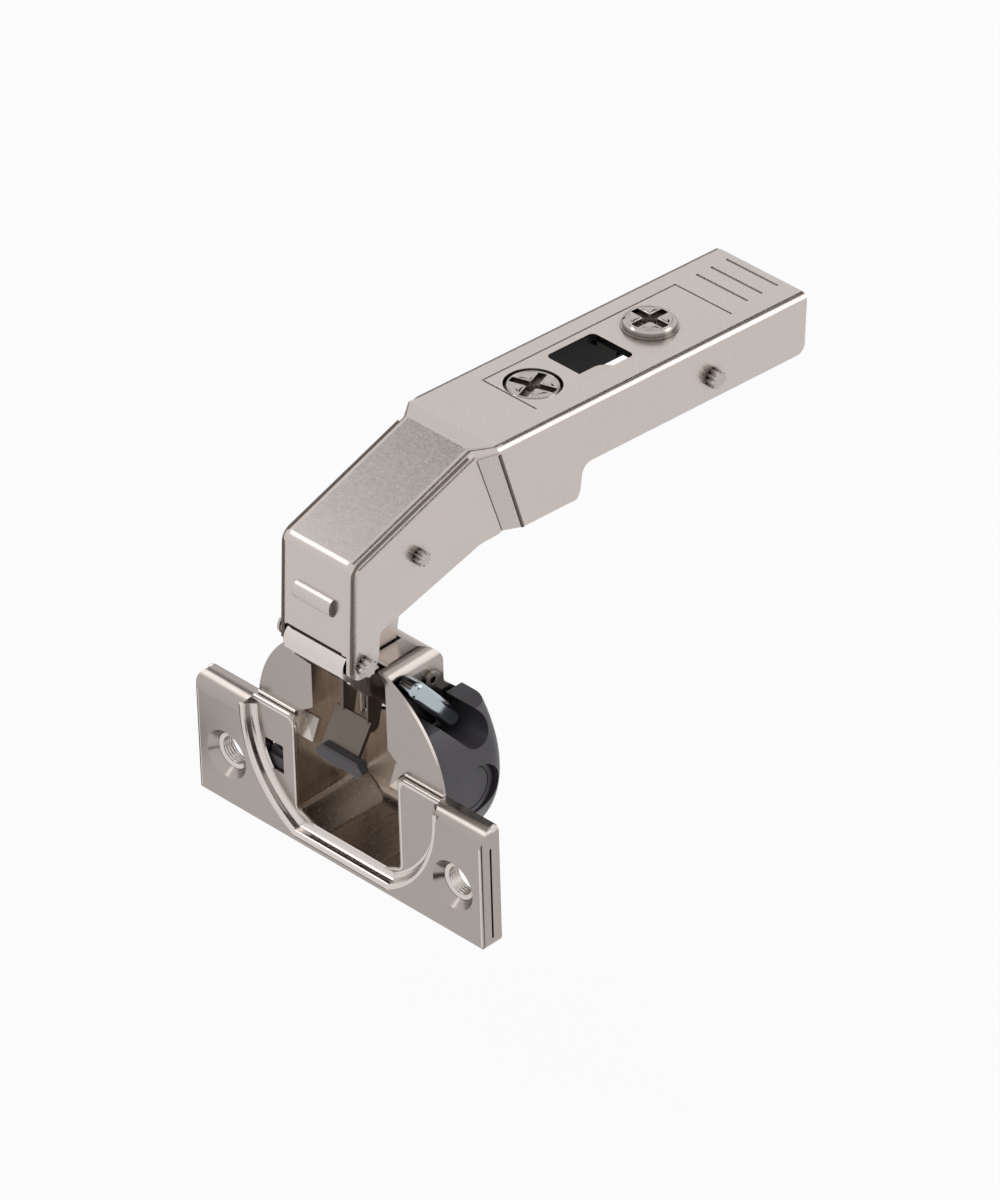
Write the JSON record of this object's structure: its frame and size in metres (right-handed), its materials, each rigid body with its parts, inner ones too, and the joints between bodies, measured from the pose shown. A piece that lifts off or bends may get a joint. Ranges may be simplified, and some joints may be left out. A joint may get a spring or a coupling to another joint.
{
  "type": "cranked hinge",
  "caption": "Concealed cranked cabinet hinge for a blind corner door: drawn cup with screw wings, sheet links, cranked arm, adjusting screws and clip-on carriage.",
  "frame": {"origin": "centre of the 35 mm cup, on the face of the door", "axes": "+Y along the cup into the door, +X along the flange and parallel to the pivots, +Z from the cup to the edge of the door"},
  "size_m": [0.0568, 0.0899, 0.063],
  "materials": {
    "nickel_cup": "nickel plated satin steel",
    "nickel_arm": "nickel plated satin steel",
    "bright_pin": "bright zinc",
    "screw_steel": "bright nickel plate",
    "dark_plastic": "dark grey moulded plastic",
    "spring_steel": "blued spring steel"
  },
  "bodies": {
    "cup": {"cup_plate": "nickel_cup", "axle_bar": "bright_pin", "spring_post": "nickel_cup", "closing_spring": "spring_steel", "damper_housing": "dark_plastic", "damper_cap": "dark_plastic", "switch_housing": "dark_plastic"},
    "switch": {"switch_slider": "dark_plastic"},
    "lever": {"cam_lever": "nickel_cup", "cam_slider": "dark_plastic"},
    "outer_link": {"outer_link": "nickel_arm"},
    "inner_link": {"inner_link": "nickel_arm"},
    "arm": {"arm_shell": "nickel_arm", "front_pin": "nickel_arm", "middle_pin": "nickel_arm", "rear_pin": "nickel_arm", "side_insert": "screw_steel"},
    "side_screw": {"side_screw": "screw_steel"},
    "depth_screw": {"depth_screw": "screw_steel"},
    "carriage": {"carriage": "nickel_arm", "latch_pin": "nickel_arm", "latch_spring": "spring_steel"},
    "latch": {"latch_lever": "nickel_arm"}
  },
  "joints": [
    {"name": "outer_link_turn", "type": "hinge", "parent": "cup", "child": "outer_link", "pos_m": [0, 0.0071, 0.0088], "axis": [1, 0, 0], "range_deg": [0, 117.18]},
    {"name": "arm_turn", "type": "hinge", "parent": "outer_link", "child": "arm", "pos_m": [0, -0.0044, 0.021], "axis": [1, 0, 0], "range_deg": [-22.18, 0]},
    {"name": "inner_link_turn", "type": "hinge", "parent": "cup", "child": "inner_link", "pos_m": [0, 0.00346, 0.01293], "axis": [1, 0, 0], "range_deg": [0, 132.85]},
    {"name": "cam_lever_turn", "type": "hinge", "parent": "cup", "child": "lever", "pos_m": [0, 0.00346, 0.01293], "axis": [1, 0, 0], "range_deg": [0, 6]},
    {"name": "switch_slide", "type": "slide", "parent": "cup", "child": "switch", "axis": [0, 0, 1], "range_m": [0, 0.0017]},
    {"name": "side_screw_turn", "type": "hinge", "parent": "arm", "child": "side_screw", "pos_m": [0, 0.03686, 0.04382], "axis": [0, 0.0739, 0.9973], "range_deg": [-720, 720]},
    {"name": "depth_screw_turn", "type": "hinge", "parent": "arm", "child": "depth_screw", "pos_m": [0, 0.06009, 0.0421], "axis": [0, 0.0739, 0.9973], "range_deg": [-150, 150]},
    {"name": "carriage_slide", "type": "slide", "parent": "arm", "child": "carriage", "axis": [0, 0.9973, -0.0739], "range_m": [-0.002, 0.002]},
    {"name": "latch_turn", "type": "hinge", "parent": "carriage", "child": "latch", "pos_m": [0, 0.07384, 0.03406], "axis": [1, 0, 0], "range_deg": [0, 12], "stiffness_Nm_per_rad": 0.02}
  ],
  "couplings": [
    {"joint": "arm_turn", "follows": "outer_link_turn", "ratio": -0.18928},
    {"joint": "inner_link_turn", "follows": "outer_link_turn", "ratio": 1.1337},
    {"joint": "cam_lever_turn", "follows": "outer_link_turn", "ratio": 0.051203},
    {"joint": "depth_screw_turn", "follows": "carriage_slide", "rad_per_m": 1309}
  ]
}
